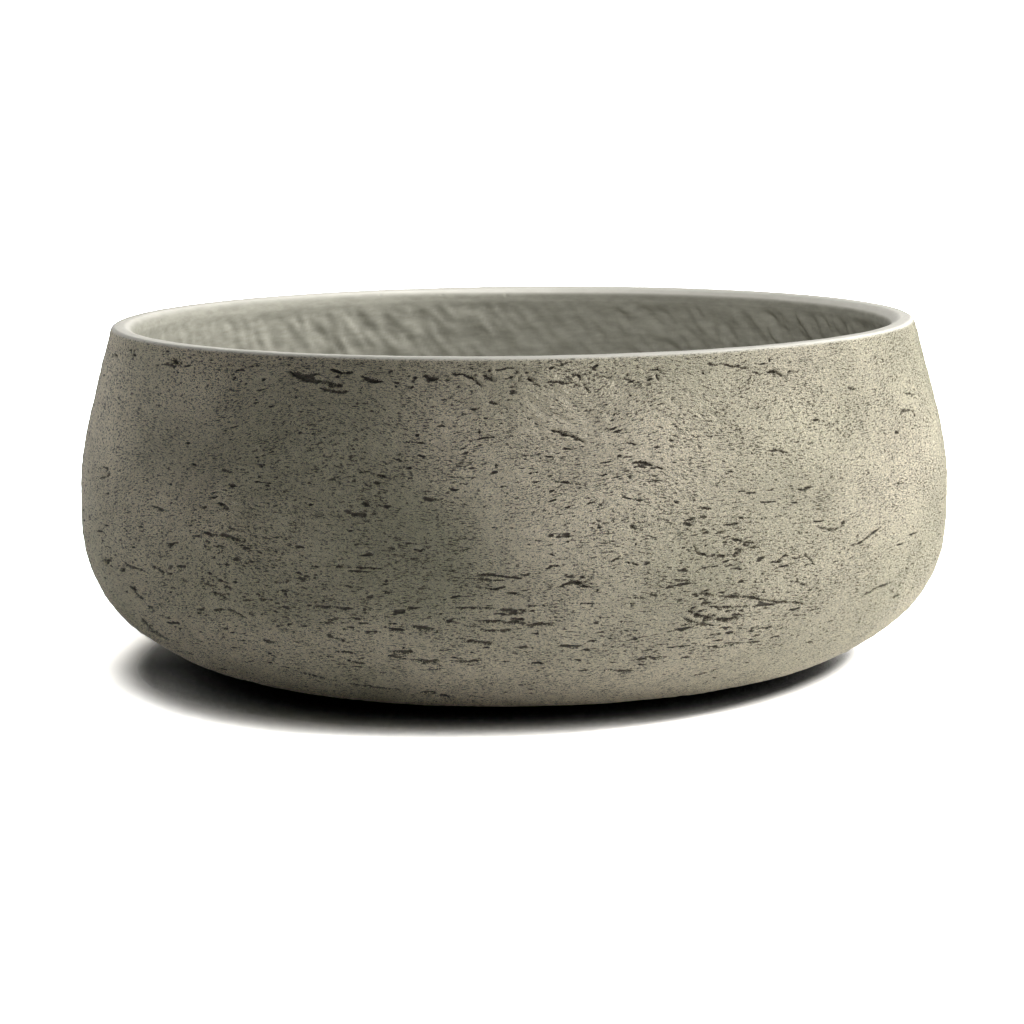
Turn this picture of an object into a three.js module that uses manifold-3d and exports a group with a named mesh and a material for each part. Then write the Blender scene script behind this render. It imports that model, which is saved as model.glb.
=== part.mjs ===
// Bowl planter in cast concrete: a round, open bowl, widest at half its height, whose
// wall leans in to a flat rim. A rubber plug closes the drain hole in its floor, and
// four stick-on pads carry it. Millimetres and degrees, +Z up, with the origin on the
// ground under the middle of the bowl.

import * as THREE from 'three';
import { mergeVertices } from 'three/addons/utils/BufferGeometryUtils.js';
import Module from 'manifold-3d';

// ---- Bowl: outside ------------------------------------------------------------

const BELLY_DIAMETER = 540;
const SHELL_HEIGHT = 217;
const BELLY_HEIGHT = 109; // the widest point, above the underside
const WALL_LEAN = 14.5; // the upper wall leans in by this much from the vertical
const BELLY_ARC = 206; // radius of the arc through the widest point
const HAUNCH_FROM = 7; // degrees below the widest point where the tighter arc starts
const HAUNCH_ARC = 78;
const HAUNCH_TO = 53; // degrees below the widest point where the foot arc takes over

// ---- Bowl: wall, rim and floor ------------------------------------------------

const WALL_THICKNESS = 16;
const FLOOR_THICKNESS = 22;
const RIM_OUTER_ROUND = 1.8;
const RIM_INNER_ROUND = 4;

// ---- Bowl: drain hole, with a shallow seat for the plug's flange ----------------

const SEAT_DIAMETER = 46;
const SEAT_DEPTH = 4;
const SEAT_ROUND = 1.2;
const DRAIN_TOP_DIAMETER = 30;
const DRAIN_BOTTOM_DIAMETER = 26;
const DRAIN_CHAMFER = 1.5;

// ---- Drain plug ---------------------------------------------------------------

const PLUG_CLEARANCE = 0.3; // between the plug and the concrete, all round
const FLANGE_SIDE_CLEARANCE = 0.8;
const FLANGE_THICKNESS = 3.4;
const FLANGE_ROUND = 1;
const PLUG_STANDBACK = 3; // the plug ends this far above the bowl's underside
const RIB_COUNT = 3;
const RIB_HEIGHT = 0.9; // how far the sealing ribs stand out of the shank
const RIB_WIDTH = 2.4;
const CORE_DIAMETER = 13; // hollow moulded into the plug from below
const CORE_DEPTH = 11;
const LOOP_GAP_WIDTH = 15; // finger gap inside the pull loop
const LOOP_LEG = 3.5; // straight part of the loop's legs above the flange
const LOOP_BAR_WIDTH = 5;
const LOOP_BAR_THICKNESS = 6;
const LOOP_BAR_ROUND = 1.6;

// ---- Floor pads ---------------------------------------------------------------

const PAD_COUNT = 4;
const PAD_DIAMETER = 28;
const PAD_THICKNESS = 3;
const PAD_ROUND = 0.8;
const PAD_INSET = 11; // from the edge of the flat underside to the pad's edge
const GLUE_THICKNESS = 0.3; // adhesive between a pad and the concrete
const FIRST_PAD_ANGLE = 45;

// ---- Fineness of the faceted surfaces -------------------------------------------

const SHELL_SEGMENTS = 72;
const PLUG_SEGMENTS = 36;
const PAD_SEGMENTS = 24;
const ARC_STEP = 5.4; // degrees of turn for each facet of a bowl arc
const ROUND_STEPS = 2; // facets of a small round
const LOOP_STEPS = 20; // steps along the pull loop

const wasm = await Module();
wasm.setup();

const radians = THREE.MathUtils.degToRad;

// ---- Profile tools: points hold (radius, height) ----------------------------------

// Unit vector at an angle above the horizontal, pointing away from the axis.
function direction(angle) {
  return new THREE.Vector2(Math.cos(radians(angle)), Math.sin(radians(angle)));
}

// Points of a circular arc. An angle is that of the arc's normal above the horizontal.
function arcPoints(centre, radius, fromAngle, toAngle, steps) {
  const clockwise = toAngle < fromAngle;
  const arc = new THREE.EllipseCurve(
    centre.x, centre.y, radius, radius, radians(fromAngle), radians(toAngle), clockwise);
  return arc.getPoints(steps);
}

function bowlArc(centre, radius, fromAngle, toAngle) {
  const steps = Math.ceil(Math.abs(toAngle - fromAngle) / ARC_STEP);
  return arcPoints(centre, radius, fromAngle, toAngle, steps);
}

// Chains runs of points, and leaves out a point that repeats the one before it.
function chain(...runs) {
  const coincident = 1e-6;
  const points = [];
  for (const point of runs.flat()) {
    const last = points.at(-1);
    if (!last || last.distanceTo(point) > coincident) points.push(point);
  }
  return points;
}

// Revolves a closed outline, or one that starts and ends on the axis, about +Z.
function revolve(outline, segments) {
  const geometry = new THREE.LatheGeometry(outline, segments);
  geometry.rotateX(Math.PI / 2);
  return weld(geometry);
}

// Keeps positions only, and merges the vertices that coincide.
function weld(geometry) {
  geometry.deleteAttribute('normal');
  geometry.deleteAttribute('uv');
  const tolerance = 1e-4;
  return mergeVertices(geometry, tolerance);
}

// ---- Bowl shell -----------------------------------------------------------------

// The wall is a chain of tangent arcs. Both of its skins share the centres of the belly
// and haunch arcs, so the wall keeps its thickness from the rim down to the haunch.
const bellyCentre = new THREE.Vector2(BELLY_DIAMETER / 2 - BELLY_ARC, BELLY_HEIGHT);
const haunchCentre = direction(-HAUNCH_FROM)
  .multiplyScalar(BELLY_ARC - HAUNCH_ARC)
  .add(bellyCentre);

// The foot arc leaves the haunch at its tangent and runs out level on a flat floor.
function footArc(inset, floorHeight) {
  const normal = direction(-HAUNCH_TO);
  const joint = normal.clone().multiplyScalar(HAUNCH_ARC - inset).add(haunchCentre);
  const radius = (joint.y - floorHeight) / (1 + normal.y);
  const centre = normal.clone().multiplyScalar(-radius).add(joint);
  return { centre, radius };
}

// One skin of the wall, from the flat floor up to where the lean is straight.
function wallSkin(inset, floorHeight) {
  const foot = footArc(inset, floorHeight);
  return chain(
    bowlArc(foot.centre, foot.radius, -90, -HAUNCH_TO),
    bowlArc(haunchCentre, HAUNCH_ARC - inset, -HAUNCH_TO, -HAUNCH_FROM),
    bowlArc(bellyCentre, BELLY_ARC - inset, -HAUNCH_FROM, 0),
    bowlArc(bellyCentre, BELLY_ARC - inset, 0, WALL_LEAN));
}

// Point at a height on the straight upper wall, or on a line a given inset inside it.
function leaningWallPoint(inset, height) {
  const start = direction(WALL_LEAN).multiplyScalar(BELLY_ARC - inset).add(bellyCentre);
  const radius = start.x - (height - start.y) * Math.tan(radians(WALL_LEAN));
  return new THREE.Vector2(radius, height);
}

// A flat land between a crisp outer round and a softer inner one.
function rimLand() {
  const outerCentre = leaningWallPoint(RIM_OUTER_ROUND, SHELL_HEIGHT - RIM_OUTER_ROUND);
  const innerCentre = leaningWallPoint(
    WALL_THICKNESS - RIM_INNER_ROUND, SHELL_HEIGHT - RIM_INNER_ROUND);
  return chain(
    arcPoints(outerCentre, RIM_OUTER_ROUND, WALL_LEAN, 90, ROUND_STEPS),
    arcPoints(innerCentre, RIM_INNER_ROUND, 90, 180 + WALL_LEAN, 2 * ROUND_STEPS));
}

// From the bowl's floor down through the flange's seat and the tapered hole.
function drainOutline() {
  const seatRadius = SEAT_DIAMETER / 2;
  const seatHeight = FLOOR_THICKNESS - SEAT_DEPTH;
  const edgeCentre = new THREE.Vector2(seatRadius + SEAT_ROUND, FLOOR_THICKNESS - SEAT_ROUND);
  return chain(
    arcPoints(edgeCentre, SEAT_ROUND, 90, 180, ROUND_STEPS),
    [
      new THREE.Vector2(seatRadius, seatHeight),
      new THREE.Vector2(DRAIN_TOP_DIAMETER / 2, seatHeight),
      new THREE.Vector2(drainRadius(DRAIN_CHAMFER), DRAIN_CHAMFER),
      new THREE.Vector2(drainRadius(0) + DRAIN_CHAMFER, 0),
    ]);
}

// Radius of the tapered hole at a height above the bowl's underside.
function drainRadius(height) {
  const share = height / (FLOOR_THICKNESS - SEAT_DEPTH);
  return THREE.MathUtils.lerp(DRAIN_BOTTOM_DIAMETER, DRAIN_TOP_DIAMETER, share) / 2;
}

function bowlShellGeometry() {
  const outer = wallSkin(0, 0);
  const inner = wallSkin(WALL_THICKNESS, FLOOR_THICKNESS).reverse();
  const loop = chain(outer, rimLand(), inner, drainOutline());
  return revolve([...loop, loop[0]], SHELL_SEGMENTS);
}

// ---- Drain plug -------------------------------------------------------------------

// Heights on the plug are above the bowl's underside, as for the hole it fills.
const flangeBottom = FLOOR_THICKNESS - SEAT_DEPTH + PLUG_CLEARANCE;
const flangeTop = flangeBottom + FLANGE_THICKNESS;

// One sealing rib in the tapered hole: a half-round that stands out of the shank.
function ribPoints(height) {
  const steps = 2 * ROUND_STEPS;
  const shankRadius = drainRadius(height) - PLUG_CLEARANCE - RIB_HEIGHT;
  const rib = new THREE.EllipseCurve(
    shankRadius, height, RIB_HEIGHT, RIB_WIDTH / 2, -Math.PI / 2, Math.PI / 2);
  return rib.getPoints(steps);
}

// The plug's half outline: hollow core, ribbed shank and a flange with round edges.
function plugOutline() {
  const shankLength = flangeBottom - PLUG_STANDBACK;
  const ribPitch = shankLength / (RIB_COUNT + 1);
  const tipRadius = drainRadius(PLUG_STANDBACK) - PLUG_CLEARANCE - RIB_HEIGHT;
  const flangeRadius = SEAT_DIAMETER / 2 - FLANGE_SIDE_CLEARANCE;
  const coreTop = PLUG_STANDBACK + CORE_DEPTH;
  const ribs = [];
  for (let rib = 1; rib <= RIB_COUNT; rib += 1) {
    ribs.push(...ribPoints(PLUG_STANDBACK + rib * ribPitch));
  }
  const lowerEdge = new THREE.Vector2(flangeRadius - FLANGE_ROUND, flangeBottom + FLANGE_ROUND);
  const upperEdge = new THREE.Vector2(flangeRadius - FLANGE_ROUND, flangeTop - FLANGE_ROUND);
  return chain(
    [
      new THREE.Vector2(0, coreTop),
      new THREE.Vector2(CORE_DIAMETER / 2, coreTop),
      new THREE.Vector2(CORE_DIAMETER / 2, PLUG_STANDBACK),
      new THREE.Vector2(tipRadius, PLUG_STANDBACK),
    ],
    ribs,
    [new THREE.Vector2(drainRadius(flangeBottom) - PLUG_CLEARANCE - RIB_HEIGHT, flangeBottom)],
    arcPoints(lowerEdge, FLANGE_ROUND, -90, 0, ROUND_STEPS),
    arcPoints(upperEdge, FLANGE_ROUND, 0, 90, ROUND_STEPS),
    [new THREE.Vector2(0, flangeTop)]);
}

// Section of the pull loop's bar: a rectangle with round corners.
function barSection() {
  const halfWidth = LOOP_BAR_WIDTH / 2;
  const halfDepth = LOOP_BAR_THICKNESS / 2;
  const shape = new THREE.Shape();
  const corners = [[1, 1, 0], [-1, 1, 90], [-1, -1, 180], [1, -1, 270]];
  for (const [across, along, angle] of corners) {
    const x = across * (halfWidth - LOOP_BAR_ROUND);
    const y = along * (halfDepth - LOOP_BAR_ROUND);
    shape.absarc(x, y, LOOP_BAR_ROUND, radians(angle), radians(angle + 90));
  }
  shape.closePath();
  return shape;
}

// Centre line of the pull loop: up one leg, round the top and down the other leg.
class LoopLine extends THREE.Curve {
  constructor(radius, foot, shoulder) {
    super();
    this.radius = radius;
    this.foot = foot;
    this.leg = shoulder - foot;
    this.length = 2 * this.leg + Math.PI * radius;
  }

  getPoint(t, target = new THREE.Vector3()) {
    const along = t * this.length;
    const intoArc = THREE.MathUtils.clamp(along - this.leg, 0, Math.PI * this.radius);
    const angle = Math.PI - intoArc / this.radius;
    const height = Math.min(along, this.length - along, this.leg);
    return target.set(
      this.radius * Math.cos(angle), 0, this.foot + height + this.radius * Math.sin(angle));
  }
}

function pullLoopGeometry() {
  const lineRadius = (LOOP_GAP_WIDTH + LOOP_BAR_WIDTH) / 2;
  const foot = flangeTop - FLANGE_THICKNESS / 2; // the legs grow out of the flange
  const line = new LoopLine(lineRadius, foot, flangeTop + LOOP_LEG);
  const geometry = new THREE.ExtrudeGeometry(barSection(), {
    extrudePath: line,
    steps: LOOP_STEPS,
    curveSegments: ROUND_STEPS,
  });
  return weld(geometry);
}

function drainPlugGeometry() {
  return union(revolve(plugOutline(), PLUG_SEGMENTS), pullLoopGeometry());
}

// ---- Floor pads ---------------------------------------------------------------------

function floorPadGeometry() {
  const edge = PAD_DIAMETER / 2 - PAD_ROUND;
  const lower = new THREE.Vector2(edge, PAD_ROUND);
  const upper = new THREE.Vector2(edge, PAD_THICKNESS - PAD_ROUND);
  const outline = chain(
    [new THREE.Vector2(0, 0)],
    arcPoints(lower, PAD_ROUND, -90, 0, ROUND_STEPS),
    arcPoints(upper, PAD_ROUND, 0, 90, ROUND_STEPS),
    [new THREE.Vector2(0, PAD_THICKNESS)]);
  return revolve(outline, PAD_SEGMENTS);
}

// Where a pad's middle lies, on a circle just inside the edge of the flat underside.
function padPosition(index) {
  const flatRadius = footArc(0, 0).centre.x;
  const circleRadius = flatRadius - PAD_INSET - PAD_DIAMETER / 2;
  const angle = FIRST_PAD_ANGLE + (index * 360) / PAD_COUNT;
  const place = direction(angle).multiplyScalar(circleRadius);
  return new THREE.Vector3(place.x, place.y, 0);
}

// ---- Joining solids -------------------------------------------------------------------

function toManifold(geometry) {
  return new wasm.Manifold(new wasm.Mesh({
    numProp: 3,
    vertProperties: geometry.attributes.position.array,
    triVerts: new Uint32Array(geometry.index.array),
  }));
}

function union(first, second) {
  const mesh = toManifold(first).add(toManifold(second)).getMesh();
  const geometry = new THREE.BufferGeometry();
  geometry.setAttribute('position', new THREE.BufferAttribute(mesh.vertProperties, 3));
  geometry.setIndex(new THREE.BufferAttribute(mesh.triVerts, 1));
  return geometry;
}

// ---- Materials ----------------------------------------------------------------------

function concrete() {
  return new THREE.MeshStandardMaterial({ color: 0xaaa58f, roughness: 0.9, metalness: 0 });
}

function blackRubber() {
  return new THREE.MeshStandardMaterial({ color: 0x222222, roughness: 0.7, metalness: 0 });
}

function greyRubber() {
  return new THREE.MeshStandardMaterial({ color: 0x55534f, roughness: 0.8, metalness: 0 });
}

// ---- Assembly -------------------------------------------------------------------------

function piece(name, geometry, material) {
  const mesh = new THREE.Mesh(geometry, material);
  mesh.name = name;
  return mesh;
}

const planter = new THREE.Group();

// The bowl and its plug share one frame, whose zero is the bowl's underside.
const bowl = new THREE.Group();
bowl.position.z = PAD_THICKNESS + GLUE_THICKNESS;
bowl.add(piece('bowl_shell', bowlShellGeometry(), concrete()));
bowl.add(piece('drain_plug', drainPlugGeometry(), blackRubber()));
planter.add(bowl);

const padGeometry = floorPadGeometry();
for (let index = 0; index < PAD_COUNT; index += 1) {
  const pad = piece(`floor_pad_${index + 1}`, padGeometry, greyRubber());
  pad.position.copy(padPosition(index));
  planter.add(pad);
}

export default planter;
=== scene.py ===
"""Bowl planter in cast concrete: camera, light, floor, and the finish of every surface."""
import math

import bpy
import numpy as np
from mathutils import Matrix, Vector


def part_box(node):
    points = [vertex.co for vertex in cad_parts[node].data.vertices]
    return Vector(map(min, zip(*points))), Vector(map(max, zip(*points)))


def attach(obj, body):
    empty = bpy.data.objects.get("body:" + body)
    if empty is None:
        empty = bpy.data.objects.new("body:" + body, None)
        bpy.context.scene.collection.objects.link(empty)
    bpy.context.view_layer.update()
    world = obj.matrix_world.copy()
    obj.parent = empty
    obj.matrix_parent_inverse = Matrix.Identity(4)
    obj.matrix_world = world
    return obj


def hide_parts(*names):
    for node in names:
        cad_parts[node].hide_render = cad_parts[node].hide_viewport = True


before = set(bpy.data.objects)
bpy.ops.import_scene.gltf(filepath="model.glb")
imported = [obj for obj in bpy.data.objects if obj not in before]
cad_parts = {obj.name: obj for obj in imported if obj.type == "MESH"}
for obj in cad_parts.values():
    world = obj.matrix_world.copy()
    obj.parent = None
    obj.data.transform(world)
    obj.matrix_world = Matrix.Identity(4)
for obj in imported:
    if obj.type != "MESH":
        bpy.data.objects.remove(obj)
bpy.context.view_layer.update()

MM = 0.001

# ---- Measures, in metres and degrees. The overall ones come from the frame. ----

SHELL_LOW, SHELL_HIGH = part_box("bowl_shell")
UNDERSIDE = SHELL_LOW.z
RIM_TOP = SHELL_HIGH.z
BELLY_RADIUS = SHELL_HIGH.x
BELLY_HEIGHT = UNDERSIDE + 109 * MM
WALL_LEAN = 14.5
BELLY_ARC = 206 * MM
HAUNCH_FROM = 7
HAUNCH_ARC = 78 * MM
HAUNCH_TO = 53
WALL_THICKNESS = 16 * MM
FLOOR_TOP = UNDERSIDE + 22 * MM
RIM_OUTER_ROUND = 4.5 * MM
RIM_LAND_FROM = 60
RIM_INNER_ROUND = 7 * MM
SEAT_RADIUS = 23 * MM
SEAT_HEIGHT = FLOOR_TOP - 4 * MM
SEAT_ROUND = 1.2 * MM
DRAIN_TOP_RADIUS = 15 * MM
DRAIN_BOTTOM_RADIUS = 13 * MM
DRAIN_CHAMFER = 1.5 * MM

# ---- Small helpers ----

def add_object(name, data):
    """A new object in the scene for a mesh, a light or a camera."""
    new = bpy.data.objects.new(name, data)
    bpy.context.scene.collection.objects.link(new)
    return new


def smoothstep(low, high, value):
    t = np.clip((value - low) / (high - low), 0, 1)
    return t * t * (3 - 2 * t)


def unit(vectors):
    return vectors / np.hypot(*vectors.T)[:, None]


def turns(count):
    """Angles of evenly spaced columns round the axis."""
    return 2 * np.pi * np.arange(count) / count


def spun(radius, height, columns):
    """Rings of points or directions from their radial and upward parts."""
    turn = turns(columns)
    parts = np.broadcast_arrays(radius * np.cos(turn), radius * np.sin(turn), height)
    return np.stack(parts, axis=2)


# ---- Camera ----

IMAGE_SIZE = 1024
SENSOR_WIDTH = 36.0
FOCAL_PIXELS = 4475.0
CAMERA_DISTANCE = 2.8
CAMERA_ELEVATION = 7.45
CAMERA_ROLL = -0.658
CAMERA_PIVOT_HEIGHT = 0.104
AIM = Vector((-0.00155, 0.0, 0.09864))


def camera_axes():
    """Eye point, and the camera's right, up and forward directions."""
    tilt = math.radians(CAMERA_ELEVATION)
    eye = Vector((0.0, -CAMERA_DISTANCE * math.cos(tilt),
                  CAMERA_PIVOT_HEIGHT + CAMERA_DISTANCE * math.sin(tilt)))
    forward = (AIM - eye).normalized()
    level_right = forward.cross(Vector((0, 0, 1))).normalized()
    level_up = level_right.cross(forward)
    roll = math.radians(CAMERA_ROLL)
    right = math.cos(roll) * level_right + math.sin(roll) * level_up
    up = -math.sin(roll) * level_right + math.cos(roll) * level_up
    return eye, right, up, forward


def make_camera():
    """The photograph's camera, fitted to the outline and the rim."""
    eye, right, up, forward = camera_axes()
    camera = bpy.data.cameras.new("camera")
    camera.sensor_width = SENSOR_WIDTH
    camera.lens = FOCAL_PIXELS * SENSOR_WIDTH / IMAGE_SIZE
    camera.clip_start = 0.05
    camera.clip_end = 200
    holder = add_object("camera", camera)
    turn = Matrix((right, up, -forward)).transposed().to_4x4()
    holder.matrix_world = Matrix.Translation(eye) @ turn
    bpy.context.scene.camera = holder


# ---- Profile of the bowl: points hold (radius, height) ----

def heading(angle):
    """Unit vector at an angle above the horizontal, pointing away from the bowl's axis."""
    return np.array([math.cos(math.radians(angle)), math.sin(math.radians(angle))])


def arc(centre, radius, start, stop, spacing=0.25 * MM):
    """Points of an arc between two angles in degrees."""
    count = math.ceil(abs(math.radians(stop - start)) * radius / spacing) + 2
    angles = np.radians(np.linspace(start, stop, count))
    return centre + radius * np.stack([np.cos(angles), np.sin(angles)], axis=1)


BELLY_CENTRE = np.array([BELLY_RADIUS - BELLY_ARC, BELLY_HEIGHT])
HAUNCH_CENTRE = BELLY_CENTRE + (BELLY_ARC - HAUNCH_ARC) * heading(-HAUNCH_FROM)


def wall_skin(inset, floor_height):
    """One skin of the wall, from the flat floor up to where the lean is straight."""
    normal = heading(-HAUNCH_TO)
    joint = HAUNCH_CENTRE + (HAUNCH_ARC - inset) * normal
    foot_radius = (joint[1] - floor_height) / (1 + normal[1])
    return np.concatenate([
        arc(joint - foot_radius * normal, foot_radius, -90, -HAUNCH_TO),
        arc(HAUNCH_CENTRE, HAUNCH_ARC - inset, -HAUNCH_TO, -HAUNCH_FROM),
        arc(BELLY_CENTRE, BELLY_ARC - inset, -HAUNCH_FROM, WALL_LEAN)])


def leaning_wall_point(inset, height):
    """Point on the straight upper wall, or on a line a given inset inside it."""
    start = BELLY_CENTRE + (BELLY_ARC - inset) * heading(WALL_LEAN)
    radius = start[0] - (height - start[1]) * math.tan(math.radians(WALL_LEAN))
    return np.array([radius, height])


def resample(points, spacing):
    """Points at an even spacing along a polyline, both ends kept."""
    step = np.hypot(*np.diff(points, axis=0).T)
    points = points[np.concatenate([[True], step > 1e-9])]
    along = np.concatenate([[0], np.cumsum(np.hypot(*np.diff(points, axis=0).T))])
    count = max(2, round(along[-1] / spacing) + 1)
    targets = np.linspace(0, along[-1], count)
    return np.stack([np.interp(targets, along, points[:, axis]) for axis in (0, 1)], axis=1)


# ---- Noise on a grid that wraps round the bowl ----

def smooth_noise(seed, shape, spacing, across, along, slant=0):
    """Gaussian noise of unit spread. shape is (rows, columns) and spacing their pitch in
    metres. The features are `along` long and `across` thick, both as standard deviations in
    mm, and climb to the right by the slant in degrees."""
    white = np.random.default_rng(seed).standard_normal(shape)
    up = (np.fft.fftfreq(shape[0]) / spacing[0])[:, None]
    right = (np.fft.rfftfreq(shape[1]) / spacing[1])[None, :]
    turn = math.radians(slant)
    length = along * MM * (right * math.cos(turn) + up * math.sin(turn))
    thickness = across * MM * (up * math.cos(turn) - right * math.sin(turn))
    keep = np.exp(-2 * math.pi ** 2 * (length ** 2 + thickness ** 2))
    field = np.fft.irfft2(np.fft.rfft2(white) * keep, s=shape)
    return (field - field.mean()) / field.std()


# ---- Where things lie in the photograph, in its pixels ----

def seen_pixels(points, normals):
    """Pixel column and row of points on the bowl, far outside the picture where hidden."""
    eye, right, up, forward = (np.array(axis) for axis in camera_axes())
    away = points - eye
    scale = FOCAL_PIXELS / (away @ forward)
    half = IMAGE_SIZE / 2
    pixels = np.stack([half + (away @ right) * scale, half - (away @ up) * scale], axis=-1)
    pixels[np.einsum("...i,...i", away, normals) > 0] = -IMAGE_SIZE
    return pixels


# Soft patches: middle x and y, half width and half height.
SMOOTH_PATCHES = {
    "right_side": (885, 470, 135, 230),
    "right_top": (820, 420, 90, 60),
    "left_top": (160, 420, 60, 60),
    "foot_left": (330, 690, 120, 22),
    "foot_right": (640, 690, 160, 18),
    "calm_front": (455, 540, 35, 22),
}
DENSE_PATCHES = {
    "front_middle": (620, 480, 130, 60),
    "front_lower": (480, 620, 140, 50),
    "right_lower": (760, 580, 90, 50),
    "left_lower": (300, 590, 130, 50),
    "under_rim_left": (290, 375, 160, 20),
}
SLANTED_PATCHES = {
    "front_top": (540, 405, 80, 45),
    "left_top": (370, 420, 90, 45),
    "right_top": (700, 400, 60, 40),
}
# Warmer, paler patches; the two at the left foot are painted light, the floor's bounce.
WARM_AND_PAINTED_LIGHT_PATCHES = {
    "left_upper": (175, 400, 60, 50),
    "left_edge": (110, 450, 35, 70),
    "left_middle": (180, 500, 55, 35),
    "front_upper": (450, 440, 45, 60),
    "front": (550, 470, 60, 110),
    "front_foot": (520, 680, 160, 18),
    "right_front": (640, 440, 60, 70),
    "painted_bounce_left_foot": (215, 642, 90, 24),
    "painted_bounce_left_foot_front": (315, 652, 80, 22),
}
# Greener, darker patches; the three on the left side are painted shade.
GREEN_AND_PAINTED_SHADE_PATCHES = {
    "painted_shade_side": (300, 450, 100, 110),
    "painted_shade_side_middle": (305, 545, 95, 60),
    "painted_shade_side_low": (320, 585, 120, 42),
    "front_green": (420, 540, 50, 50),
}


def soft_patch(pixels, x, y, width, height):
    return np.exp(-((pixels[..., 0] - x) / width) ** 2 - ((pixels[..., 1] - y) / height) ** 2)


def painted(patches, pixels):
    """Sum of soft patches, no more than 1."""
    return np.minimum(sum(soft_patch(pixels, *patch) for patch in patches.values()), 1)


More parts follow.
